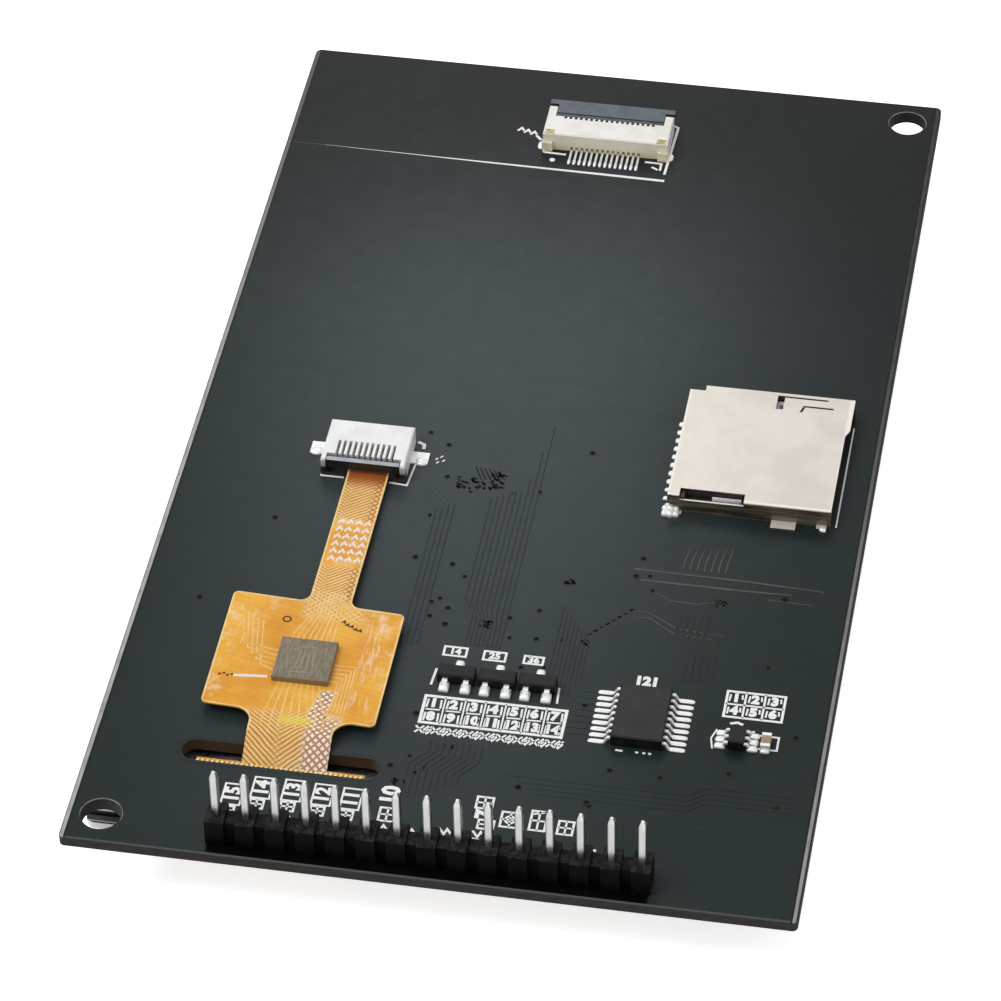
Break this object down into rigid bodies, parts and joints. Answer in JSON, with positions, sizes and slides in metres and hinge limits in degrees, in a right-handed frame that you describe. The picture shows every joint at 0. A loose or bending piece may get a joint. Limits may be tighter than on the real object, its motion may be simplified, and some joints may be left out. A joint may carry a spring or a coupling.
{
  "type": "tft display module",
  "caption": "Touch display module on its carrier board, with pin header, flex connectors and memory card socket, lying on its display face.",
  "frame": {"origin": "on the cover glass's outer face, under the centre of the board's outline", "axes": "+Z from the display face to the board's component side, +Y from the pin header's edge to the spare connector's edge, +X to the card socket"},
  "size_m": [0.0618, 0.108, 0.013],
  "materials": {
    "cover_glass": "gloss",
    "display_glass": "gloss",
    "optical_film": "gloss",
    "dark_film": "gloss",
    "adhesive": "gloss",
    "foam_tape": "matte",
    "white_plastic": "satin",
    "shield_steel": "brushed",
    "solder_mask": "semi-gloss",
    "flex_film": "gloss",
    "chip_plastic": "matte",
    "bare_silicon": "gloss",
    "header_plastic": "matte",
    "tinned_metal": "satin",
    "solder": "satin",
    "cream_plastic": "matte",
    "latch_plastic": "satin",
    "gold_contact": "satin",
    "card_steel": "satin",
    "black_plastic": "matte",
    "spring_steel": "satin",
    "capacitor_ceramic": "matte",
    "lamp": "gloss"
  },
  "bodies": {
    "root": {"cover_glass": "cover_glass", "optical_adhesive": "adhesive", "touch_sensor_glass": "display_glass", "gasket_tape": "foam_tape", "front_polarizer": "dark_film", "color_filter_glass": "display_glass", "array_glass": "display_glass", "driver_chip": "bare_silicon", "rear_polarizer": "dark_film", "upper_prism_film": "optical_film", "lower_prism_film": "optical_film", "diffuser_film": "optical_film", "light_guide": "optical_film", "reflector_film": "white_plastic", "backlight_leds": "lamp", "led_strip": "white_plastic", "backlight_frame": "white_plastic", "rear_shield": "shield_steel", "display_flex": "flex_film", "mounting_tape": "foam_tape", "circuit_board": "solder_mask", "touch_flex": "flex_film", "touch_chip": "chip_plastic", "header_block": "header_plastic", "header_pins": "tinned_metal", "header_solder": "solder", "touch_connector_housing": "cream_plastic", "touch_connector_contacts": "gold_contact", "touch_connector_solder_tabs": "solder", "spare_connector_housing": "cream_plastic", "spare_connector_contacts": "tinned_metal", "spare_connector_solder_tabs": "gold_contact", "card_shell": "card_steel", "card_base": "black_plastic", "card_contacts": "tinned_metal", "card_spring": "spring_steel", "card_cam_pin": "spring_steel", "card_detect_contacts": "tinned_metal", "card_solder": "solder", "level_shifter_body": "chip_plastic", "level_shifter_leads": "tinned_metal", "transistor_bodies": "chip_plastic", "transistor_leads": "tinned_metal", "regulator_body": "chip_plastic", "regulator_leads": "tinned_metal", "capacitor_body": "capacitor_ceramic", "capacitor_ends": "tinned_metal"},
    "touch_latch": {"touch_connector_latch": "latch_plastic"},
    "spare_latch": {"spare_connector_latch": "latch_plastic"},
    "card_slider": {"card_slider": "black_plastic"}
  },
  "joints": [
    {"name": "touch_latch_flip", "type": "hinge", "parent": "root", "child": "touch_latch", "pos_m": [-0.0143, -0.0066, 0.00703], "axis": [-1, 0, 0], "range_deg": [0, 90]},
    {"name": "spare_latch_flip", "type": "hinge", "parent": "root", "child": "spare_latch", "pos_m": [-0.0002, 0.04527, 0.00703], "axis": [1, 0, 0], "range_deg": [0, 90]},
    {"name": "card_push", "type": "slide", "parent": "root", "child": "card_slider", "axis": [-1, 0, 0], "range_m": [0, 0.003], "stiffness_N_per_m": 150, "springref_m": -0.001, "deforming": ["card_spring"]}
  ]
}
